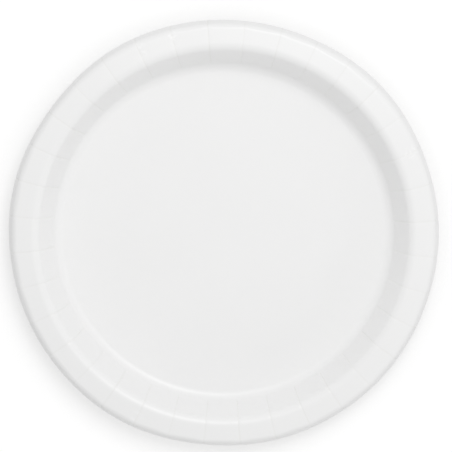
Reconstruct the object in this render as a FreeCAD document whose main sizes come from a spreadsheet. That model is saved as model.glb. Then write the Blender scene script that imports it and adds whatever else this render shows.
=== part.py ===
import FreeCAD, Part
import math
import os
import Sketcher

from FreeCAD import Placement, Rotation, Vector

NODE = "paper_plate"

# Driving sizes of the plate, in millimetres and degrees
SIZES = (
    ("plate_diameter", 228.6, "across the outer edge, a nominal 9 inch plate"),
    ("plate_height", 19.6, "from the table to the crest of the brim"),
    ("board_thickness", 0.43, "coated paperboard"),
    ("foot_radius", 8.0, "bend from floor to wall, on the upper face"),
    ("wall_angle", 66.0, "slope of the wall from level"),
    ("shoulder_radius", 4.9, "bend from wall to brim, on the upper face"),
    ("brim_width", 12.3, "from the crest of the brim to the outer edge"),
    ("brim_angle", 3.0, "slope of the brim from level, down towards the edge"),
    ("lip_bend_radius", 3.2, "bend from brim to lip, on the upper face"),
    ("lip_angle", 65.0, "slope of the lip from level, at a pleat"),
    ("panel_lip_angle", 61.0, "the same at the middle of a panel, where the bend lies further in"),
    ("lip_drop", 6.0, "from the crest of the brim down to the outer edge"),
    ("pleat_count", 36, "pressed pleats round the plate, with a panel between each two"),
    ("first_pleat_angle", 4.4, "where the first pleat stands, from the X axis"),
    ("pleat_sink", 0.2, "how far the board at a pleat lies below the middle of a panel"),
    ("crease_width", 0.9, "across the narrow crease down the middle of each pleat"),
    ("crease_depth", 0.18, "depth of the crease below the board's face"),
    ("crease_stop", 1.0, "from the outer end of a crease to the bend of the lip"),
    ("crease_overlap", 0.1, "how far the cut of a crease reaches above the board's face"),
    ("floor_overlap", 1.5, "how far the flat of each panel and the floor disc share the floor"),
)

# Ends of a line or an arc, and the centre of an arc, as a sketch numbers them
START, END, CENTRE = 1, 2, 3
# The sketch's own origin, its axes and the first edge that it borrows, by number
ORIGIN, X_AXIS, Y_AXIS, FIRST_BORROWED = -1, -1, -2, -3

# One face of the board in section, from the floor out to the edge
FACE_EDGES = ("floor", "foot", "wall", "shoulder", "brim", "lip_bend", "lip")
# The whole section, in the order in which its sketch draws it
SECTION_EDGES = (
    FACE_EDGES + ("edge",) + tuple("under_" + name for name in FACE_EDGES[::-1]) + ("inner",)
)


def add_sizes(document):
    """Put each driving size in a cell of its own, under its name."""
    sheet = document.addObject("Spreadsheet::Sheet", "Sizes")
    for row, (name, value, meaning) in enumerate(SIZES, start=1):
        sheet.set(f"A{row}", name)
        sheet.set(f"B{row}", str(value))
        sheet.setAlias(f"B{row}", name)
        sheet.set(f"C{row}", meaning)
    document.recompute()
    return sheet


def slope(degrees):
    """A unit vector in the plane of a sketch, at an angle from its X axis."""
    return Vector(math.cos(math.radians(degrees)), math.sin(math.radians(degrees)), 0)


def arc_between(centre, first, last):
    """The arc that turns anticlockwise about a centre from the first point to the last."""
    radius = (first - centre).Length
    turns = [math.atan2(point.y - centre.y, point.x - centre.x) for point in (first, last)]
    return Part.ArcOfCircle(Part.Circle(centre, Vector(0, 0, 1), radius), *turns)


class Section:
    """The board in section, worked out by hand so that its sketch starts close to solved."""

    def __init__(self, size, lip_angle, sink):
        self.size = size
        self.sink = sink
        self.along_wall = slope(size["wall_angle"])
        self.along_brim = slope(-size["brim_angle"])
        self.along_lip = slope(-lip_angle)
        self.under_wall = slope(size["wall_angle"] - 90)
        self.under_brim = slope(-size["brim_angle"] - 90)
        self.under_lip = slope(-lip_angle - 90)

        edge_radius = size["plate_diameter"] / 2
        self.edge = Vector(edge_radius, size["plate_height"] - size["lip_drop"], 0)
        self.shoulder_centre = Vector(
            edge_radius - size["brim_width"], size["plate_height"] - size["shoulder_radius"], 0
        )
        self.foot_centre = self.bend_centre(
            Vector(0, size["board_thickness"], 0), Vector(1, 0, 0), Vector(0, 1, 0),
            self.shoulder_centre - self.under_wall * (size["shoulder_radius"] - sink),
            self.along_wall, -self.under_wall, size["foot_radius"],
        )
        self.lip_bend_centre = self.bend_centre(
            self.shoulder_centre - self.under_brim * size["shoulder_radius"],
            self.along_brim, self.under_brim,
            self.edge, self.along_lip, self.under_lip, size["lip_bend_radius"],
        )

    @staticmethod
    def bend_centre(first, along_first, inside_first, second, along_second, inside_second, radius):
        """Centre of the bend of one radius that touches two straight runs of the board."""
        start = first + inside_first * radius
        gap = second + inside_second * radius - start
        cross = along_first.cross(along_second).z
        return start + along_first * (gap.cross(along_second).z / cross)

    def face(self, depth):
        """One face of the board at a depth below the middle of a panel's upper face."""
        size = self.size
        sunk = depth + self.sink
        level = size["board_thickness"] - depth
        foot_end = Vector(self.foot_centre.x, level, 0)
        wall_foot = self.foot_centre + self.under_wall * (size["foot_radius"] + depth)
        wall_top = self.shoulder_centre - self.under_wall * (size["shoulder_radius"] - sunk)
        brim_in = self.shoulder_centre - self.under_brim * (size["shoulder_radius"] - sunk)
        brim_out = self.lip_bend_centre - self.under_brim * (size["lip_bend_radius"] - sunk)
        lip_top = self.lip_bend_centre - self.under_lip * (size["lip_bend_radius"] - sunk)
        inner = foot_end - Vector(2 * size["floor_overlap"], 0, 0)
        return [
            Part.LineSegment(inner, foot_end),
            arc_between(self.foot_centre, foot_end, wall_foot),
            Part.LineSegment(wall_foot, wall_top),
            arc_between(self.shoulder_centre, brim_in, wall_top),
            Part.LineSegment(brim_in, brim_out),
            arc_between(self.lip_bend_centre, lip_top, brim_out),
            Part.LineSegment(lip_top, self.edge + self.under_lip * sunk),
        ]


def origin_feature(body, role):
    """One of a body's own origin planes or axes."""
    return next(item for item in body.Origin.OriginFeatures if item.Role == role)


def add_sketch(body, name):
    """An empty sketch in the body's XZ plane, its X outward and its Y up."""
    sketch = body.newObject("Sketcher::SketchObject", name)
    sketch.AttachmentSupport = [(origin_feature(body, "XZ_Plane"), "")]
    sketch.MapMode = "FlatFace"
    return sketch


def constrain(sketch, kind, *where):
    """Add one constraint that has no size."""
    sketch.addConstraint(Sketcher.Constraint(kind, *where))


def bind(sketch, name, expression, kind, *where):
    """Add one constraint that has a size, named and bound to the sheet."""
    index = sketch.addConstraint(Sketcher.Constraint(kind, *where))
    sketch.renameConstraint(index, name)
    sketch.setExpression(f"Constraints.{name}", expression)


def add_section(body, name, size, turn, lip_angle_name, sink_name):
    """The board in section where the plate is cut by a half plane through its axis."""
    lip_angle = size[lip_angle_name]
    sink = size[sink_name] if sink_name else 0
    sunk = f"Sizes.{sink_name}" if sink_name else "0"
    section = Section(size, lip_angle, sink)
    upper = section.face(0)
    under = section.face(size["board_thickness"])
    edge = Part.LineSegment(upper[-1].EndPoint, under[-1].EndPoint)
    inner = Part.LineSegment(under[0].StartPoint, upper[0].StartPoint)

    sketch = add_sketch(body, name)
    sketch.AttachmentOffset = Placement(Vector(0, 0, 0), Rotation(Vector(0, 1, 0), 1))
    sketch.setExpression("AttachmentOffset.Rotation.Angle", turn)
    sketch.addGeometry(upper + [edge] + under[::-1] + [inner], False)
    part = {edge_name: number for number, edge_name in enumerate(SECTION_EDGES)}

    for side in ("", "under_"):
        floor, foot, wall, shoulder, brim, lip_bend, lip = (part[side + edge] for edge in FACE_EDGES)
        constrain(sketch, "Horizontal", floor)
        constrain(sketch, "Tangent", floor, END, foot, START)
        constrain(sketch, "Tangent", foot, END, wall, START)
        constrain(sketch, "Tangent", wall, END, shoulder, END)
        constrain(sketch, "Tangent", shoulder, START, brim, START)
        constrain(sketch, "Tangent", brim, END, lip_bend, END)
        constrain(sketch, "Tangent", lip_bend, START, lip, START)
    for edge_name in ("foot", "shoulder", "lip_bend"):
        constrain(sketch, "Coincident", part[edge_name], CENTRE, part["under_" + edge_name], CENTRE)
    for edge_name in ("wall", "brim", "lip"):
        constrain(sketch, "Parallel", part[edge_name], part["under_" + edge_name])
    constrain(sketch, "Coincident", part["lip"], END, part["edge"], START)
    constrain(sketch, "Coincident", part["edge"], END, part["under_lip"], END)
    constrain(sketch, "Perpendicular", part["lip"], part["edge"])
    constrain(sketch, "Coincident", part["inner"], START, part["under_floor"], START)
    constrain(sketch, "Coincident", part["inner"], END, part["floor"], START)
    constrain(sketch, "Vertical", part["inner"])
    constrain(sketch, "PointOnObject", part["inner"], START, X_AXIS)

    bind(sketch, "board_thickness", "Sizes.board_thickness",
         "DistanceY", part["inner"], START, part["inner"], END, size["board_thickness"])
    bind(sketch, "floor_overlap", "2 * Sizes.floor_overlap",
         "DistanceX", part["floor"], START, part["floor"], END, 2 * size["floor_overlap"])
    bind(sketch, "foot_radius", "Sizes.foot_radius",
         "Radius", part["foot"], size["foot_radius"])
    bind(sketch, "wall_angle", "Sizes.wall_angle",
         "Angle", part["wall"], math.radians(size["wall_angle"]))
    bind(sketch, "shoulder_radius", f"Sizes.shoulder_radius - {sunk}",
         "Radius", part["shoulder"], size["shoulder_radius"] - sink)
    bind(sketch, "crest_height", "Sizes.plate_height - Sizes.shoulder_radius",
         "DistanceY", ORIGIN, START, part["shoulder"], CENTRE, section.shoulder_centre.y)
    bind(sketch, "crest_radius", "Sizes.plate_diameter / 2 - Sizes.brim_width",
         "DistanceX", ORIGIN, START, part["shoulder"], CENTRE, section.shoulder_centre.x)
    bind(sketch, "brim_angle", "-Sizes.brim_angle",
         "Angle", part["brim"], -math.radians(size["brim_angle"]))
    bind(sketch, "lip_bend_radius", f"Sizes.lip_bend_radius - {sunk}",
         "Radius", part["lip_bend"], size["lip_bend_radius"] - sink)
    bind(sketch, "lip_angle", f"-Sizes.{lip_angle_name}",
         "Angle", part["lip"], -math.radians(lip_angle))
    floor_radius = sketch.addConstraint(
        Sketcher.Constraint("DistanceX", ORIGIN, START, part["foot"], START, section.foot_centre.x)
    )
    sketch.setDriving(floor_radius, False)
    sketch.renameConstraint(floor_radius, "floor_radius")
    bind(sketch, "edge_radius",
         f"Sizes.plate_diameter / 2 - {sunk} * sin(Sizes.{lip_angle_name} * 1 deg)",
         "DistanceX", ORIGIN, START, part["lip"], END, upper[-1].EndPoint.x)
    bind(sketch, "edge_height",
         f"Sizes.plate_height - Sizes.lip_drop - {sunk} * cos(Sizes.{lip_angle_name} * 1 deg)",
         "DistanceY", ORIGIN, START, part["lip"], END, upper[-1].EndPoint.y)
    return sketch


def add_crease_path(body, size, pleat_section):
    """The line of a crease: up the wall, over the shoulder and out along most of the brim."""
    face = dict(zip(FACE_EDGES, Section(size, size["lip_angle"], size["pleat_sink"]).face(0)))
    brim_end = face["brim"].EndPoint - slope(-size["brim_angle"]) * size["crease_stop"]

    sketch = add_sketch(body, "CreasePath")
    borrowed = {}
    for number, edge_name in enumerate(("wall", "shoulder", "brim")):
        sketch.addExternal(pleat_section.Name, f"Edge{SECTION_EDGES.index(edge_name) + 1}")
        borrowed[edge_name] = FIRST_BORROWED - number
    sketch.addGeometry(
        [face["wall"], face["shoulder"], Part.LineSegment(face["brim"].StartPoint, brim_end)], False
    )
    wall, shoulder, brim = range(3)
    for end in (START, END):
        constrain(sketch, "Coincident", wall, end, borrowed["wall"], end)
        constrain(sketch, "Coincident", shoulder, end, borrowed["shoulder"], end)
    constrain(sketch, "Equal", shoulder, borrowed["shoulder"])
    constrain(sketch, "Coincident", brim, START, borrowed["brim"], START)
    constrain(sketch, "PointOnObject", brim, END, borrowed["brim"])
    bind(sketch, "crease_stop", "Sizes.crease_stop",
         "Distance", brim, END, borrowed["brim"], END, size["crease_stop"])
    return sketch


def add_crease(body, size, path):
    """Cut a low vee along the crease's path, its mouth carried up past the board's face."""
    half_width = size["crease_width"] / 2
    depth = size["crease_depth"]
    overlap = size["crease_overlap"]
    spread = half_width * (1 + overlap / depth)
    tip, right, left = Vector(0, -depth, 0), Vector(spread, overlap, 0), Vector(-spread, overlap, 0)

    sketch = body.newObject("Sketcher::SketchObject", "CreaseVee")
    sketch.AttachmentSupport = [(path, "Vertex1"), (path, "Edge1")]
    sketch.MapMode = "NormalToEdge"
    sketch.addGeometry([
        Part.LineSegment(tip, right),
        Part.LineSegment(right, left),
        Part.LineSegment(left, tip),
    ], False)
    flank, mouth, other_flank = range(3)
    at_face = sketch.addGeometry(Part.Point(Vector(half_width, 0, 0)), True)
    constrain(sketch, "Coincident", flank, END, mouth, START)
    constrain(sketch, "Coincident", mouth, END, other_flank, START)
    constrain(sketch, "Coincident", other_flank, END, flank, START)
    constrain(sketch, "Symmetric", mouth, START, mouth, END, Y_AXIS)
    constrain(sketch, "PointOnObject", flank, START, Y_AXIS)
    constrain(sketch, "PointOnObject", at_face, START, flank)
    constrain(sketch, "PointOnObject", at_face, START, X_AXIS)
    bind(sketch, "half_width", "Sizes.crease_width / 2",
         "DistanceX", ORIGIN, START, at_face, START, half_width)
    bind(sketch, "depth", "Sizes.crease_depth", "DistanceY", flank, START, ORIGIN, START, depth)
    bind(sketch, "overlap", "Sizes.crease_overlap",
         "DistanceY", ORIGIN, START, mouth, START, overlap)

    crease = body.newObject("PartDesign::SubtractivePipe", "Crease")
    crease.Profile = sketch
    crease.Spine = path
    return crease


def add_floor(body, size, pleat_section):
    """The flat floor, a disc that ends inside the flat of the panels round it."""
    section = Section(size, size["lip_angle"], size["pleat_sink"])
    radius = section.foot_centre.x - size["floor_overlap"]
    sketch = body.newObject("Sketcher::SketchObject", "FloorOutline")
    sketch.AttachmentSupport = [(origin_feature(body, "XY_Plane"), "")]
    sketch.MapMode = "FlatFace"
    outline = sketch.addGeometry(Part.Circle(Vector(0, 0, 0), Vector(0, 0, 1), radius), False)
    constrain(sketch, "Coincident", outline, CENTRE, ORIGIN, START)
    bind(sketch, "radius", f"{pleat_section.Name}.Constraints.floor_radius - Sizes.floor_overlap * 1 mm",
         "Radius", outline, radius)
    floor = body.newObject("PartDesign::Pad", "Floor")
    floor.Profile = sketch
    floor.setExpression("Length", "Sizes.board_thickness")
    return floor


def build_plate(document, size):
    """One pressed board: a panel with its pleat, set round the axis, and the floor."""
    body = document.addObject("PartDesign::Body", NODE)
    body.Label = NODE
    half_panel = "180 / Sizes.pleat_count"
    before = add_section(body, "PanelBefore", size, f"-{half_panel}", "panel_lip_angle", "")
    pleat = add_section(body, "Pleat", size, "0", "lip_angle", "pleat_sink")
    after = add_section(body, "PanelAfter", size, half_panel, "panel_lip_angle", "")
    document.recompute()

    panels = body.newObject("PartDesign::AdditiveLoft", "PleatAndHalfPanels")
    panels.Profile = before
    panels.Sections = [pleat, after]
    panels.Ruled = True
    document.recompute()
    path = add_crease_path(body, size, pleat)
    document.recompute()
    add_crease(body, size, path)
    document.recompute()

    ring = body.newObject("PartDesign::PolarPattern", "PleatedRing")
    ring.TransformMode = "Whole shape"
    ring.Axis = (pleat, ["V_Axis"])
    ring.Angle = 360
    ring.setExpression("Occurrences", "Sizes.pleat_count")
    ring.Refine = False
    body.Tip = ring
    document.recompute()

    body.Tip = add_floor(body, size, pleat)
    body.Placement = Placement(Vector(0, 0, 0), Rotation(Vector(0, 0, 1), 1))
    body.setExpression("Placement.Rotation.Angle", "Sizes.first_pleat_angle")
    document.recompute()
    return body


def check(document, body):
    """Stop unless every object of the document was made and the plate is one sound solid."""
    for item in document.Objects:
        if "Invalid" in item.State or "Error" in item.State:
            raise RuntimeError(f"{item.Name} was not made: {item.State}")
    shape = body.Shape
    if shape.isNull() or not shape.isValid() or len(shape.Solids) != 1:
        raise RuntimeError(f"{body.Label} is not one sound solid")


doc = FreeCAD.newDocument("PaperPlate")
sheet = add_sizes(doc)
sizes = {name: float(sheet.get(name)) for name, _, _ in SIZES}
plate = build_plate(doc, sizes)
check(doc, plate)

os.makedirs("parts", exist_ok=True)
plate.Shape.exportStep(f"parts/{plate.Label}.step")
print(f"{plate.Label}: {plate.Shape.Volume:.0f} cubic mm of board")
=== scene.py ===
import math

import bpy
from mathutils import Euler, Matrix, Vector


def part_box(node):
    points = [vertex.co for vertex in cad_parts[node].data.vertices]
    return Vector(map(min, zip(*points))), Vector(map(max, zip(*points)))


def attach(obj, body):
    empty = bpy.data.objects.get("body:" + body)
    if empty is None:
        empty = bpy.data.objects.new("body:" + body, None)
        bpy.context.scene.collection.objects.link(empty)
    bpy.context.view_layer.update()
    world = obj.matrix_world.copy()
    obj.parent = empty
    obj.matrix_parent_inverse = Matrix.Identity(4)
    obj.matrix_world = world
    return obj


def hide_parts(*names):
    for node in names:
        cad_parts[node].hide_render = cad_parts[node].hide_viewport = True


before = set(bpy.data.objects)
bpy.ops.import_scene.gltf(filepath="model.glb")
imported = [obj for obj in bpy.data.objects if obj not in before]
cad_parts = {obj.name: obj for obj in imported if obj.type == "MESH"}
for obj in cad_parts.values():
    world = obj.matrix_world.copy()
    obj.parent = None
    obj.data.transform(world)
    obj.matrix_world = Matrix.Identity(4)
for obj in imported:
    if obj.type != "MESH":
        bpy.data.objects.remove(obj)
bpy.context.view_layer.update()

bl_info = {
    "name": "Pleated Paper Plate",
    "version": (1, 0, 0),
    "blender": (4, 5, 0),
    "location": "View3D > Sidebar > Paper Plate",
    "description": "A round paperboard plate with a pleated rim, and a plain studio for it",
    "category": "Add Mesh",
}

NODE = "paper_plate"
BODY = "root"
MM = 0.001

PLATE_LOW, PLATE_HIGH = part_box(NODE)
PLATE_RADIUS = (PLATE_HIGH.x - PLATE_LOW.x) / 2
PLATE_HEIGHT = PLATE_HIGH.z


# Settings that a user would change

def length(name, description, millimetres):
    """A length that the sidebar shows in the scene's units."""
    return bpy.props.FloatProperty(
        name=name, description=description, default=millimetres * MM,
        unit="LENGTH", subtype="DISTANCE", precision=5,
    )


def angle(name, description, degrees):
    """An angle that the sidebar shows in degrees."""
    return bpy.props.FloatProperty(
        name=name, description=description, default=math.radians(degrees),
        unit="ROTATION", subtype="ANGLE",
    )


def share(name, description, default, highest=1.0):
    """A plain number from nothing up to its highest value."""
    return bpy.props.FloatProperty(
        name=name, description=description, default=default, min=0.0, max=highest, subtype="FACTOR"
    )


def colour(name, description, *rgb):
    """A colour in linear light."""
    return bpy.props.FloatVectorProperty(
        name=name, description=description, default=rgb, size=3, min=0.0, max=1.0, subtype="COLOR"
    )


class PlateSizes(bpy.types.PropertyGroup):
    """The board's section, on its upper face."""

    radius: length("Radius", "From the axis to the outer edge", PLATE_RADIUS / MM)
    height: length("Height", "From the table to the crest of the brim", PLATE_HEIGHT / MM)
    thickness: length("Board Thickness", "Thickness of the coated paperboard", 0.43)
    foot_radius: length("Foot Radius", "Bend from the floor to the wall", 6.0)
    wall_angle: angle("Wall Angle", "Slope of the wall from level", 66.0)
    shoulder_radius: length("Shoulder Radius", "Bend from the wall to the brim", 4.9)
    brim_width: length("Brim Width", "From the crest of the brim to the outer edge", 12.3)
    brim_angle: angle("Brim Angle", "Slope of the brim, down towards the edge", 3.0)
    lip_bend_radius: length("Lip Bend Radius", "Bend from the brim to the lip", 3.2)
    lip_angle: angle("Lip Angle", "Slope of the lip from level", 65.0)
    lip_drop: length("Lip Drop", "From the crest of the brim down to the outer edge", 6.0)


class PleatSizes(bpy.types.PropertyGroup):
    """The pressed pleats and the panels between them."""

    count: bpy.props.IntProperty(
        name="Pleats", description="Pleats round the plate", default=36, min=3
    )
    first: angle("First Pleat", "Where the first pleat stands, from the X axis", 4.4)
    crease_width: length("Crease Width", "Width of the groove at a pleat", 1.1)
    crease_depth: length("Crease Depth", "Depth of the groove at a pleat, on the wall", 0.11)
    brim_share: share("Depth on the Brim", "Depth of the groove on the brim, as a share", 0.4)
    wander: length("Crease Wander", "How far a crease strays to either side", 0.25)
    pucker: length("Pucker", "Height of the small wrinkles beside a few pleats", 0.08)
    crown: length("Panel Crown", "How far a panel of the brim swells between two pleats", 0.05)
    bend_chord: length("Bend Chord", "How far in the lip's bend lies between two pleats", 0.5)
    lift: length("Brim Lift", "How far the brim rises and falls round the plate", 0.12)
    waver: share("Edge Waver", "Share of the edge's small waves that is kept", 1.0)
    seed: bpy.props.IntProperty(
        name="Seed", description="Picks the small differences between pleats", default=7
    )


class BoardFinish(bpy.types.PropertyGroup):
    """The colours and the gloss of the board, with painted shade in its creases and a painted highlight
    on its wrinkles.
    """

    coated: colour("Coated Face", "The white upper face", 0.92, 0.92, 0.918)
    # Painted shade, partly also the pressed coating: darkens the board's colour along the creases
    crease_mark_and_shade: share("Crease Shade", "How much darker the board is where it is creased", 0.03)
    # Painted highlight: lightens the board's colour on the crests of the small wrinkles
    wrinkle_highlight: share("Wrinkle White", "How much lighter the crests of small wrinkles are", 0.065)
    uncoated: colour("Uncoated Face", "The underside", 0.80, 0.79, 0.765)
    core: colour("Cut Edge", "The board's core, seen along its cut edge", 0.74, 0.725, 0.69)
    roughness: share("Roughness", "Roughness of the coated face", 0.34)
    cloud: share("Clouding", "How far the board's whiteness varies", 0.012)
    grain: length("Grain", "Height of the paper's grain", 0.004)


class StudioSettings(bpy.types.PropertyGroup):
    """The floor, the lamps and the camera."""

    background: colour("Background", "Floor and background", 1.0, 1.0, 1.0)
    floor_shade: share("Floor Shade", "How much of the light the floor throws back", 0.6)
    floor_glow: share("Floor Glow", "How white the floor looks of itself", 0.5)
    ambient: share("Ambient", "Strength of the light from all round", 0.68)
    key_power: bpy.props.FloatProperty(
        name="Key Power", description="Power of the main lamp", default=3.0, unit="POWER"
    )
    fill_power: bpy.props.FloatProperty(
        name="Fill Power", description="Power of the low lamp across from it", default=0.7, unit="POWER"
    )
    lens: bpy.props.FloatProperty(
        name="Lens", description="Focal length of the camera", default=139.0, unit="CAMERA"
    )
    tilt: angle("Camera Tilt", "How far the camera leans from straight above", 6.6)
    distance: bpy.props.FloatProperty(
        name="Camera Distance", description="From the brim to the camera", default=0.9222,
        unit="LENGTH", subtype="DISTANCE",
    )
    across: length("Camera Across", "How far the camera stands to the right", 1.08)
    along: length("Camera Along", "How far the camera stands towards the image's top", 5.88)


# Node trees

class Field:
    """A socket of a node tree that is worked out with plain arithmetic."""

    def __init__(self, kit, socket):
        self.kit = kit
        self.socket = socket

    def __add__(self, other):
        return self.kit.maths("ADD", self, other)

    def __radd__(self, other):
        return self.kit.maths("ADD", other, self)

    def __sub__(self, other):
        return self.kit.maths("SUBTRACT", self, other)

    def __rsub__(self, other):
        return self.kit.maths("SUBTRACT", other, self)

    def __mul__(self, other):
        return self.kit.maths("MULTIPLY", self, other)

    def __rmul__(self, other):
        return self.kit.maths("MULTIPLY", other, self)

    def __truediv__(self, other):
        return self.kit.maths("DIVIDE", self, other)

    def __rtruediv__(self, other):
        return self.kit.maths("DIVIDE", other, self)


class NodeKit:
    """Adds nodes to a tree and joins them up."""

    def __init__(self, tree):
        self.tree = tree

    def feed(self, socket, value):
        """Give a socket a field, another node's output or a plain value."""
        if isinstance(value, Field):
            value = value.socket
        if isinstance(value, bpy.types.NodeSocket):
            self.tree.links.new(value, socket)
        else:
            socket.default_value = value

    def node(self, kind, inputs=(), **settings):
        """A new node. Its inputs are given by the names or numbers of their sockets."""
        node = self.tree.nodes.new(kind)
        for name, value in settings.items():
            setattr(node, name, value)
        for key, value in dict(inputs).items():
            if isinstance(key, int):
                socket = node.inputs[key]
            else:
                socket = next(item for item in node.inputs if item.name == key and item.enabled)
            self.feed(socket, value)
        return node

    def field(self, node, name=0):
        """One output of a node, to work with."""
        if isinstance(name, int):
            return Field(self, node.outputs[name])
        return Field(self, next(item for item in node.outputs if item.name == name and item.enabled))

    def maths(self, operation, *values):
        """One step of arithmetic."""
        return self.field(self.node("ShaderNodeMath", enumerate(values), operation=operation))

    def ramp(self, value, start, end, low, high, shape="LINEAR"):
        """A value that goes from low to high while another goes from start to end, and stays there."""
        return self.field(self.node(
            "ShaderNodeMapRange",
            {"Value": value, "From Min": start, "From Max": end, "To Min": low, "To Max": high},
            interpolation_type=shape, clamp=True,
        ), "Result")

    def vector(self, x, y, z):
        """Three fields as one vector."""
        return self.field(self.node("ShaderNodeCombineXYZ", {"X": x, "Y": y, "Z": z}))

    def noise(self, place, scale, detail=2.0, name="Fac"):
        """Smooth noise about a half."""
        return self.field(self.node(
            "ShaderNodeTexNoise", {"Vector": place, "Scale": scale, "Detail": detail}
        ), name)


# The section of the board

class Band:
    """One stretch of the board's section: straight, or bent evenly along its length."""

    def __init__(self, name, rows, distance, turn=0.0):
        self.name = name
        self.rows = rows
        self.distance = distance
        self.turn = turn
        self.start = 0

    @property
    def end(self):
        """The row at which the band ends."""
        return self.start + self.rows

    @property
    def middle(self):
        """The row half way along the band."""
        return self.start + self.rows / 2


def section_bands(size):
    """The bands of the upper face, from the axis out to the edge."""
    wall_cos, wall_sin = math.cos(size.wall_angle), math.sin(size.wall_angle)
    brim_cos, brim_sin = math.cos(size.brim_angle), math.sin(size.brim_angle)
    lip_cos, lip_sin = math.cos(size.lip_angle), math.sin(size.lip_angle)

    bend_rise = (size.foot_radius + size.shoulder_radius) * (1 - wall_cos)
    wall = (size.height - size.thickness - bend_rise) / wall_sin
    bend_reach = (size.foot_radius + size.shoulder_radius) * wall_sin
    floor = size.radius - size.brim_width - bend_reach - wall * wall_cos

    # What the straight brim and the lip have to cover together, out and down
    out = size.brim_width - size.shoulder_radius * brim_sin
    out -= size.lip_bend_radius * (lip_sin - brim_sin)
    down = size.lip_drop - size.shoulder_radius * (1 - brim_cos)
    down -= size.lip_bend_radius * (brim_cos - lip_cos)
    between = brim_cos * lip_sin - brim_sin * lip_cos
    brim = (out * lip_sin - down * lip_cos) / between
    lip = (down * brim_cos - out * brim_sin) / between

    lip_turn = size.lip_angle - size.brim_angle
    shoulder_turn = size.wall_angle + size.brim_angle
    bands = (
        Band("Floor", 5, floor),
        Band("Foot", 14, size.foot_radius * size.wall_angle, size.wall_angle),
        Band("Wall", 8, wall),
        Band("Shoulder", 14, size.shoulder_radius * shoulder_turn, -shoulder_turn),
        Band("Brim", 12, brim),
        Band("Lip Bend", 14, size.lip_bend_radius * lip_turn, -lip_turn),
        Band("Lip", 6, lip),
    )
    row = 0
    for band in bands:
        band.start = row
        row = band.end
    return bands


COLUMNS_PER_PLEAT = 16
# How strongly the columns of faces crowd towards a pleat
CROWDING = 2.6
# The shallowest and the deepest pleat, as shares of the usual depth
PLEAT_STRENGTH = (0.75, 1.25)
# How fast a crease strays along the section, and how unlike its neighbour's the straying is
STRAY_PER_ROW = 0.05
STRAY_PER_PLEAT = 7.31
# Pleats with small wrinkles beside them, counted from the first, and how strong these are
PUCKERED = ((2, 0.7), (10, 0.8), (11, 1.0), (24, 0.5))
# How close the wrinkles lie, for each metre across and each row, and where they fade beside a pleat
WRINKLES_ACROSS = 700.0
WRINKLES_PER_ROW = 0.45
WRINKLE_FADE = (0.001, 0.004)
# How quickly the brim rises and falls round the plate
LIFT_CHANGE = 1.6
# The edge's own unevenness: waves round the plate, their height in mm, and the angle of a crest
EDGE_WAVES = ((6, 0.22, 52.2), (5, 0.17, 32.0), (9, 0.14, 2.8), (4, 0.135, 38.7), (2, 0.13, 43.6))
# Points nearer than this are one, and faces that meet at more than this angle have a crisp edge
SAME_POINT = 0.5e-6
CRISP_ANGLE = 1.0
# Guards against a place rounded down to the pleat before, and against dividing by nothing at the axis
ROUNDING = 0.001
NEAR_AXIS = 0.01


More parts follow.
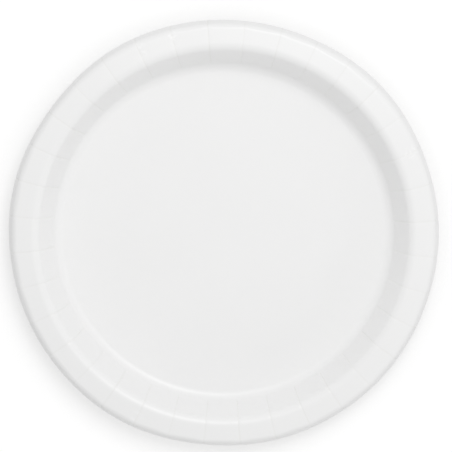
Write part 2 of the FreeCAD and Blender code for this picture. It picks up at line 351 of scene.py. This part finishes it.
class PlateTree(NodeKit):
    """The geometry nodes that make the plate: its section, turned round the axis and pleated."""

    def __init__(self, bands):
        super().__init__(bpy.data.node_groups.new("Pleated Plate", "GeometryNodeTree"))
        self.bands = bands
        self.band = {band.name: band for band in bands}
        self.rows = bands[-1].end
        self.group = self.node("NodeGroupInput")
        self.names = {}
        self.tree.interface.new_socket("Plate", in_out="OUTPUT", socket_type="NodeSocketGeometry")

    def size(self, name, kind="NodeSocketFloat"):
        """A named input of the tree."""
        socket = self.tree.interface.new_socket(name, in_out="INPUT", socket_type=kind)
        self.names[name] = socket.identifier
        return Field(self, self.group.outputs[name])

    def along(self, row, values):
        """The sum of what each band adds up to a row."""
        total = 0.0
        for band in self.bands:
            if values[band.name] is not None:
                total = total + self.ramp(row, band.start, band.end, 0.0, values[band.name])
        return total

    def running_sum(self, value, group):
        """The sum of a value down a column of points."""
        return self.field(self.node(
            "GeometryNodeAccumulateField", {"Value": value, "Group ID": group},
            data_type="FLOAT", domain="POINT",
        ), "Leading")

    def keep(self, mesh, name, value):
        """Store a field on the points, for the materials and the choice of faces."""
        return self.node(
            "GeometryNodeStoreNamedAttribute", {"Geometry": mesh, "Name": name, "Value": value},
            data_type="FLOAT", domain="POINT",
        ).outputs[0]

    def kept(self, name):
        """Read a field that was stored on the points."""
        return self.field(self.node(
            "GeometryNodeInputNamedAttribute", {"Name": name}, data_type="FLOAT"
        ), "Attribute")

    def take_inputs(self):
        """The sizes and the finishes that the tree is given."""
        self.distances = {band.name: self.size(f"{band.name} Length") for band in self.bands}
        self.turns = {
            band.name: self.size(f"{band.name} Turn") if band.turn else None for band in self.bands
        }
        self.thickness = self.size("Board Thickness")
        self.count = self.size("Pleats")
        self.first = self.size("First Pleat")
        self.crease_width = self.size("Crease Width")
        self.crease_depth = self.size("Crease Depth")
        self.brim_share = self.size("Depth on the Brim")
        self.wander = self.size("Crease Wander")
        self.pucker = self.size("Pucker")
        self.crown = self.size("Panel Crown")
        self.bend_chord = self.size("Bend Chord")
        self.lift = self.size("Brim Lift")
        self.waver = self.size("Edge Waver")
        self.seed = self.size("Seed")
        self.finishes = [
            self.size(name, "NodeSocketMaterial") for name in ("Upper Face", "Underside", "Cut Edge")
        ]

    def lay_grid(self):
        """A grid of points. Each column runs out along the upper face and back along the underside."""
        points_down = 2 * (self.rows + 1)
        grid = self.node("GeometryNodeMeshGrid", {
            "Vertices X": self.maths("ADD", self.count * COLUMNS_PER_PLEAT, 1.0),
            "Vertices Y": points_down,
        })
        index = self.field(self.node("GeometryNodeInputIndex"))
        self.column = self.maths("FLOOR", (index + 0.5) / points_down)
        point = index - self.column * points_down
        last_point = self.maths("MAXIMUM", point - 1.0, 0.0)
        self.row, self.last_row = (
            self.maths("MINIMUM", item, (points_down - 1) - item) for item in (point, last_point)
        )
        self.under = self.maths("GREATER_THAN", point, self.rows + 0.5)
        return grid.outputs["Mesh"]

    def follow_section(self):
        """The board's section: each row goes on from the last at the slope between them."""
        step = self.along(self.row, self.distances) - self.along(self.last_row, self.distances)
        slope_between = self.along((self.row + self.last_row) * 0.5, self.turns)
        climb = self.running_sum(step * self.maths("SINE", slope_between), self.column)
        self.reach = self.running_sum(step * self.maths("COSINE", slope_between), self.column)
        self.height = climb + self.thickness
        self.slope = self.along(self.row, self.turns)

    def stand_columns(self):
        """Where each column stands: its pleat, and how far to either side of it."""
        place = self.column / COLUMNS_PER_PLEAT
        self.pleat = self.maths("FLOOR", place + ROUNDING)
        across = place - self.pleat - 0.5
        from_pleat = self.maths("ABSOLUTE", across * 2.0)
        crowded = self.maths("POWER", from_pleat, CROWDING) * self.maths("SIGN", across) * 0.5
        pitch = math.tau / self.count

        line = self.vector(self.pleat * STRAY_PER_PLEAT, self.row * STRAY_PER_ROW, self.seed)
        stray = (self.noise(line, 1.0) - 0.5) * (1.0 - from_pleat) * self.wander * 2.0
        stray = stray / self.maths("MAXIMUM", self.reach, NEAR_AXIS)
        self.turn = self.first + (self.pleat + crowded) * pitch + stray

        self.sideways = crowded * pitch * self.reach
        self.aside = self.maths("ABSOLUTE", self.sideways)
        self.panel = 1.0 - self.maths("POWER", 1.0 - self.maths("ABSOLUTE", crowded * 2.0), 2.0)

    def creases(self):
        """The groove at each pleat, and its depth from the wall's foot to the edge, as shares."""
        wall, shoulder, brim = (self.band[name] for name in ("Wall", "Shoulder", "Brim"))
        lip_bend, lip = self.band["Lip Bend"], self.band["Lip"]
        shallowest, deepest = PLEAT_STRENGTH
        strength = self.field(self.node(
            "FunctionNodeRandomValue",
            {"Min": shallowest, "Max": deepest, "ID": self.pleat, "Seed": self.seed},
            data_type="FLOAT",
        ), "Value")
        groove = self.ramp(self.aside, 0.0, self.crease_width * 0.5, 1.0, 0.0, "SMOOTHSTEP")
        # It fades in over the last rows of the foot's bend, and is shallower on the brim
        groove = groove * strength * self.ramp(self.row, wall.start - 3, wall.start + 1, 0.0, 1.0)
        deep = self.ramp(self.row, shoulder.middle, brim.start + 1, 1.0, self.brim_share)
        deep = deep + self.ramp(self.row, lip_bend.start, lip.end, 0.0, 1.0)
        return groove, deep

    def wrinkles(self):
        """Where the brim is puckered beside a few of the pleats, and the small wrinkles there."""
        brim, lip_bend = self.band["Brim"], self.band["Lip Bend"]
        puckered = 0.0
        for number, share_of_height in PUCKERED:
            at_pleat = self.maths("COMPARE", self.pleat, float(number), 0.1)
            puckered = puckered + at_pleat * share_of_height
        puckered = puckered * self.ramp(self.aside, *WRINKLE_FADE, 1.0, 0.0, "SMOOTHSTEP")
        puckered = puckered * self.ramp(self.row, brim.start, brim.middle, 0.0, 1.0)
        puckered = puckered * self.ramp(self.row, lip_bend.start, lip_bend.end, 1.0, 0.0)
        place = self.vector(
            self.sideways * WRINKLES_ACROSS, self.row * WRINKLES_PER_ROW, self.pleat
        )
        return puckered, (self.noise(place, 1.0, 1.0) - 0.5) * puckered * 2.0

    def panels(self):
        """How the brim swells between two pleats, and how the lip's bend is drawn in there."""
        shoulder, brim = self.band["Shoulder"], self.band["Brim"]
        lip_bend, lip = self.band["Lip Bend"], self.band["Lip"]
        swell = self.panel * self.ramp(self.row, shoulder.middle, brim.start, 0.0, 1.0)
        swell = swell * self.ramp(self.row, lip_bend.end, lip.end, 1.0, 0.0)
        drawn_in = self.ramp(self.row, brim.start, lip_bend.middle, 0.0, 1.0, "SMOOTHSTEP")
        drawn_in = self.panel * drawn_in * self.ramp(self.row, lip_bend.middle, lip.end, 1.0, 0.0)
        return swell, drawn_in

    def unevenness(self):
        """How far the brim rises and falls round the plate, and how far its edge waves in and out."""
        shoulder, brim, lip = (self.band[name] for name in ("Shoulder", "Brim", "Lip"))
        ring = self.vector(self.maths("COSINE", self.turn), self.maths("SINE", self.turn), self.seed)
        rise = (self.noise(ring, LIFT_CHANGE, 1.0) - 0.5) * 2.0 * self.lift
        rise = rise * self.ramp(self.row, shoulder.start, lip.end, 0.0, 1.0)
        flare = 0.0
        for waves, crest, crest_angle in EDGE_WAVES:
            swing = self.maths("COSINE", (self.turn - math.radians(crest_angle)) * float(waves))
            flare = flare + swing * (crest * MM)
        flare = flare * self.waver * self.ramp(self.row, brim.start, lip.end, 0.0, 1.0)
        return rise, flare

    def close_up(self, mesh, position):
        """Put the points in place, join the seams and smooth all but the cut edge."""
        mesh = self.node("GeometryNodeSetPosition", {"Geometry": mesh, "Position": position})
        mesh = self.node("GeometryNodeMergeByDistance", {
            "Geometry": mesh.outputs[0], "Distance": SAME_POINT,
        })
        # The grid's faces look into the board, so they are turned round
        mesh = self.node("GeometryNodeFlipFaces", {"Mesh": mesh.outputs[0]})
        mesh = self.node("GeometryNodeSetShadeSmooth", {"Geometry": mesh.outputs[0]}, domain="FACE")
        corner = self.field(self.node("GeometryNodeInputMeshEdgeAngle"), "Unsigned Angle")
        mesh = self.node("GeometryNodeSetShadeSmooth", {
            "Geometry": mesh.outputs[0], "Selection": self.maths("GREATER_THAN", corner, CRISP_ANGLE),
            "Shade Smooth": False,
        }, domain="EDGE")
        return self.node("GeometryNodeRealizeInstances", {"Geometry": mesh.outputs[0]})

    def build(self):
        """Make the whole tree."""
        self.take_inputs()
        mesh = self.lay_grid()
        self.follow_section()
        self.stand_columns()
        groove, deep = self.creases()
        puckered, wrinkle = self.wrinkles()
        swell, drawn_in = self.panels()
        rise, flare = self.unevenness()

        out = self.crown * swell + self.pucker * wrinkle - self.crease_depth * groove * deep
        out = out - self.thickness * self.under
        radius = self.reach - out * self.maths("SINE", self.slope) - self.bend_chord * drawn_in + flare
        position = self.vector(
            radius * self.maths("COSINE", self.turn),
            radius * self.maths("SINE", self.turn),
            self.height + out * self.maths("COSINE", self.slope) + rise,
        )

        mesh = self.keep(mesh, "under", self.under)
        # The groove mask also steers the painted shade along the creases
        mesh = self.keep(mesh, "groove", groove)
        # The pucker mask also steers the painted highlight on the wrinkles' crests
        mesh = self.keep(mesh, "pucker", puckered)
        mesh = self.close_up(mesh, position)

        # A face of the cut edge has points on both faces of the board, so its middle reads a half
        side = self.kept("under")
        choices = (
            self.maths("LESS_THAN", side, 0.25),
            self.maths("GREATER_THAN", side, 0.75),
            self.maths("COMPARE", side, 0.5, 0.25),
        )
        for choice, finish in zip(choices, self.finishes):
            mesh = self.node("GeometryNodeSetMaterial", {
                "Geometry": mesh.outputs[0], "Selection": choice, "Material": finish,
            })
        self.node("NodeGroupOutput", {"Plate": mesh.outputs[0]})
        return self


# The finishes of the board

# How strongly a crease darkens red, green and blue: partly the pressed coating, where the board's warm
# core shows through a little, and partly painted shade in the fold
CREASE_MARK_AND_SHADE_TINT = (0.85, 0.9, 1.15)
# How fine the board's patterns and the painted highlight on the wrinkles are, for each metre
CLOUDS = 28.0
FIBRES = 900.0
GLOSS_PATCHES = 160.0
WRINKLE_HIGHLIGHT_FINENESS = 480.0


def new_material(name):
    """A material with nothing in it but its shader and its output."""
    material = bpy.data.materials.new(name)
    material.use_nodes = True
    material.node_tree.nodes.clear()
    kit = NodeKit(material.node_tree)
    shader = kit.node("ShaderNodeBsdfPrincipled")
    kit.node("ShaderNodeOutputMaterial", {"Surface": shader.outputs[0]})
    return material, kit, shader


def board_brightness(kit, place, cloud, fibre):
    """A board's whiteness about one: faint clouds a few centimetres wide, and fine fibres."""
    clouds = kit.noise(place, CLOUDS, 3.0) - 0.5
    fibres = kit.noise(place, FIBRES, 3.0) - 0.5
    return 1.0 + clouds * cloud * 2.0 + fibres * fibre * 2.0


def board_colour(kit, place, rgb, cloud, fibre):
    """A plain board's colour."""
    bright = board_brightness(kit, place, cloud, fibre)
    return kit.vector(*(bright * part for part in rgb))


def coated_colour(kit, place, finish):
    """The coated face's colour: darker along the creases, partly from the pressed coating and partly as
    painted shade, and lighter on the crests of the wrinkles as a painted highlight.
    """
    groove, pucker = (
        kit.field(kit.node("ShaderNodeAttribute", attribute_name=name), "Fac")
        for name in ("groove", "pucker")
    )
    # Painted highlight: the colour is lighter on the crests of the wrinkles, where the puckered board
    # catches the light
    crests = kit.noise(place, WRINKLE_HIGHLIGHT_FINENESS, 2.0)
    crests = kit.ramp(crests, 0.50, 0.64, 0.0, finish.wrinkle_highlight, "SMOOTHSTEP")
    bright = board_brightness(kit, place, finish.cloud, fibre=0.006) + crests * pucker
    # Painted shade, partly also the pressed coating: the colour is darker along each crease
    return kit.vector(*(
        (bright - groove * (finish.crease_mark_and_shade * depth)) * part
        for part, depth in zip(finish.coated, CREASE_MARK_AND_SHADE_TINT)
    ))


def grain_bump(kit, place, height, coarse, fine):
    """The height of the paper's grain, from a coarse and a fine share."""
    ground = kit.noise(place, coarse, 3.0)
    hairs = kit.noise(place, fine, 2.0)
    bump = kit.node("ShaderNodeBump", {
        "Height": ground * 0.6 + hairs * 0.4, "Distance": height, "Strength": 1.0,
    })
    return bump.outputs[0]


def coated_material(finish):
    """The coated white face, smooth with a slight sheen."""
    material, kit, shader = new_material("coated_white_face")
    place = kit.node("ShaderNodeTexCoord").outputs["Object"]
    kit.feed(shader.inputs["Base Color"], coated_colour(kit, place, finish))
    gloss = (kit.noise(place, GLOSS_PATCHES, 4.0) - 0.5) * 0.08 + finish.roughness
    kit.feed(shader.inputs["Roughness"], gloss)
    bump = grain_bump(kit, place, finish.grain, coarse=700.0, fine=2600.0)
    kit.feed(shader.inputs["Normal"], bump)
    shader.inputs["Specular IOR Level"].default_value = 0.5
    return material


def uncoated_material(finish):
    """The uncoated underside, matt, with its fibres showing."""
    material, kit, shader = new_material("uncoated_underside")
    place = kit.node("ShaderNodeTexCoord").outputs["Object"]
    shade = board_colour(kit, place, finish.uncoated, cloud=0.02, fibre=0.03)
    bump = grain_bump(kit, place, finish.grain * 4, coarse=500.0, fine=1800.0)
    kit.feed(shader.inputs["Base Color"], shade)
    kit.feed(shader.inputs["Roughness"], (kit.noise(place, 400.0) - 0.5) * 0.1 + 0.86)
    kit.feed(shader.inputs["Normal"], bump)
    shader.inputs["Specular IOR Level"].default_value = 0.2
    return material


def edge_material(finish):
    """The cut edge, where the board's core shows in thin layers."""
    material, kit, shader = new_material("cut_board_edge")
    place = kit.node("ShaderNodeTexCoord").outputs["Object"]
    shade = board_colour(kit, place, finish.core, cloud=0.03, fibre=0.06)
    bump = grain_bump(kit, place, finish.grain * 6, coarse=1500.0, fine=5000.0)
    kit.feed(shader.inputs["Base Color"], shade)
    kit.feed(shader.inputs["Roughness"], 0.92)
    kit.feed(shader.inputs["Normal"], bump)
    shader.inputs["Specular IOR Level"].default_value = 0.2
    return material


# The plate

class PAPERPLATE_OT_plate(bpy.types.Operator):
    """Add the pleated plate, one sheet of pressed board"""

    bl_idname = "mesh.paper_plate_add"
    bl_label = "Add Pleated Plate"

    def execute(self, context):
        scene = context.scene
        size, pleats, finish = scene.plate_sizes, scene.plate_pleats, scene.plate_finish
        bands = section_bands(size)
        plate_tree = PlateTree(bands).build()

        values = {
            "Board Thickness": size.thickness,
            "Pleats": float(pleats.count),
            "First Pleat": pleats.first,
            "Crease Width": pleats.crease_width,
            "Crease Depth": pleats.crease_depth,
            "Depth on the Brim": pleats.brim_share,
            "Crease Wander": pleats.wander,
            "Pucker": pleats.pucker,
            "Panel Crown": pleats.crown,
            "Bend Chord": pleats.bend_chord,
            "Brim Lift": pleats.lift,
            "Edge Waver": pleats.waver,
            "Seed": float(pleats.seed),
            "Upper Face": coated_material(finish),
            "Underside": uncoated_material(finish),
            "Cut Edge": edge_material(finish),
        }
        for band in bands:
            values[f"{band.name} Length"] = band.distance
            if band.turn:
                values[f"{band.name} Turn"] = band.turn

        maker = bpy.data.objects.new("plate_maker", bpy.data.meshes.new("plate_maker"))
        scene.collection.objects.link(maker)
        modifier = maker.modifiers.new("Pleated Plate", "NODES")
        modifier.node_group = plate_tree.tree
        for name, value in values.items():
            modifier[plate_tree.names[name]] = value
        context.view_layer.update()
        evaluated = maker.evaluated_get(context.evaluated_depsgraph_get())
        mesh = bpy.data.meshes.new_from_object(evaluated)
        bpy.data.objects.remove(maker)
        if not mesh.polygons:
            raise RuntimeError("the plate's tree made no faces")

        plate = bpy.data.objects.new("pleated_plate", mesh)
        scene.collection.objects.link(plate)
        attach(plate, BODY)
        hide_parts(NODE)
        return {"FINISHED"}


# The studio

# The floor lies a little under the plate, and reaches this far to each side
FLOOR_BELOW = 0.1 * MM
FLOOR_REACH = 4.0


def direction(azimuth, elevation):
    """A unit vector by its angle from the X axis, seen from above, and its angle over level."""
    azimuth, elevation = math.radians(azimuth), math.radians(elevation)
    level = math.cos(elevation)
    return Vector((level * math.cos(azimuth), level * math.sin(azimuth), math.sin(elevation)))


def add_lamp(name, azimuth, elevation, distance, width, height, power):
    """An area lamp that looks at the plate from a distance."""
    lamp = bpy.data.lights.new(name, "AREA")
    lamp.shape = "RECTANGLE"
    lamp.size = width
    lamp.size_y = height
    lamp.energy = power
    item = bpy.data.objects.new(name, lamp)
    away = direction(azimuth, elevation)
    item.location = away * distance
    item.rotation_euler = away.to_track_quat("Z", "Y").to_euler()
    bpy.context.scene.collection.objects.link(item)
    return item


def seen_by_eye(kit):
    """One for rays that show a thing, in the camera or in a glossy or clear one, and else nothing."""
    path = kit.node("ShaderNodeLightPath")
    camera, glossy, clear = (
        kit.field(path, name) for name in ("Is Camera Ray", "Is Glossy Ray", "Is Transmission Ray")
    )
    return kit.maths("MAXIMUM", kit.maths("MAXIMUM", camera, glossy), clear)


def add_floor(studio):
    """A wide white floor just under the plate. Little of its whiteness lights the plate."""
    mesh = bpy.data.meshes.new("studio_floor")
    corners = [
        (x * FLOOR_REACH, y * FLOOR_REACH, -FLOOR_BELOW) for x, y in ((-1, -1), (1, -1), (1, 1), (-1, 1))
    ]
    mesh.from_pydata(corners, [], [(0, 1, 2, 3)])
    material, kit, shader = new_material("studio_floor")
    shade = [part * studio.floor_shade for part in studio.background]
    kit.feed(shader.inputs["Base Color"], (*shade, 1.0))
    kit.feed(shader.inputs["Roughness"], 1.0)
    kit.feed(shader.inputs["Emission Color"], (*studio.background, 1.0))
    kit.feed(shader.inputs["Emission Strength"], seen_by_eye(kit) * studio.floor_glow)
    shader.inputs["Specular IOR Level"].default_value = 0.0
    mesh.materials.append(material)
    floor = bpy.data.objects.new("studio_floor", mesh)
    bpy.context.scene.collection.objects.link(floor)


def add_world(studio):
    """Even light from all round, and a plain background."""
    world = bpy.data.worlds.new("studio")
    world.use_nodes = True
    world.node_tree.nodes.clear()
    kit = NodeKit(world.node_tree)
    seen = kit.maths("MAXIMUM", seen_by_eye(kit), studio.ambient)
    background = kit.node("ShaderNodeBackground", {
        "Color": (*studio.background, 1.0), "Strength": seen,
    })
    kit.node("ShaderNodeOutputWorld", {"Surface": background.outputs[0]})
    bpy.context.scene.world = world


def add_camera(studio):
    """The camera, almost straight above and leaning towards the image's top."""
    data = bpy.data.cameras.new("camera")
    data.sensor_width = 36.0
    data.lens = studio.lens
    data.clip_end = 20.0
    camera = bpy.data.objects.new("camera", data)
    away = Vector((0.0, math.sin(studio.tilt), math.cos(studio.tilt)))
    upwards = Vector((0.0, math.cos(studio.tilt), -math.sin(studio.tilt)))
    target = Vector((0.0, 0.0, PLATE_HEIGHT))
    aside = Vector((studio.across, 0.0, 0.0)) + upwards * studio.along
    camera.location = target + away * studio.distance + aside
    camera.rotation_euler = Euler((-studio.tilt, 0.0, 0.0))
    bpy.context.scene.collection.objects.link(camera)
    bpy.context.scene.camera = camera


class PAPERPLATE_OT_studio(bpy.types.Operator):
    """Add the floor, the lamps and the camera"""

    bl_idname = "scene.paper_plate_studio"
    bl_label = "Add Studio"

    def execute(self, context):
        studio = context.scene.plate_studio
        context.scene.view_settings.view_transform = "Standard"
        add_floor(studio)
        add_world(studio)
        add_lamp(
            "key", azimuth=68.0, elevation=60.0, distance=1.05,
            width=0.5, height=0.5, power=studio.key_power,
        )
        add_lamp(
            "fill", azimuth=322.0, elevation=20.0, distance=1.2,
            width=0.9, height=0.3, power=studio.fill_power,
        )
        add_camera(studio)
        return {"FINISHED"}


class PAPERPLATE_PT_sidebar(bpy.types.Panel):
    """The plate's settings in the sidebar"""

    bl_idname = "PAPERPLATE_PT_sidebar"
    bl_label = "Paper Plate"
    bl_space_type = "VIEW_3D"
    bl_region_type = "UI"
    bl_category = "Paper Plate"

    def draw(self, context):
        layout = self.layout
        for group in (
            context.scene.plate_sizes, context.scene.plate_pleats,
            context.scene.plate_finish, context.scene.plate_studio,
        ):
            box = layout.box()
            for name in group.__annotations__:
                box.prop(group, name)
        layout.operator(PAPERPLATE_OT_plate.bl_idname)
        layout.operator(PAPERPLATE_OT_studio.bl_idname)


CLASSES = (
    PlateSizes, PleatSizes, BoardFinish, StudioSettings,
    PAPERPLATE_OT_plate, PAPERPLATE_OT_studio, PAPERPLATE_PT_sidebar,
)
SETTINGS = {
    "plate_sizes": PlateSizes,
    "plate_pleats": PleatSizes,
    "plate_finish": BoardFinish,
    "plate_studio": StudioSettings,
}


def register():
    """Make the settings, the operators and the panel known."""
    for item in CLASSES:
        bpy.utils.register_class(item)
    for name, group in SETTINGS.items():
        setattr(bpy.types.Scene, name, bpy.props.PointerProperty(type=group))


def unregister():
    """Take them away again."""
    for name in SETTINGS:
        delattr(bpy.types.Scene, name)
    for item in reversed(CLASSES):
        bpy.utils.unregister_class(item)


def main():
    """Build the plate and its studio."""
    register()
    bpy.ops.mesh.paper_plate_add()
    bpy.ops.scene.paper_plate_studio()


if __name__ == "__main__":
    main()
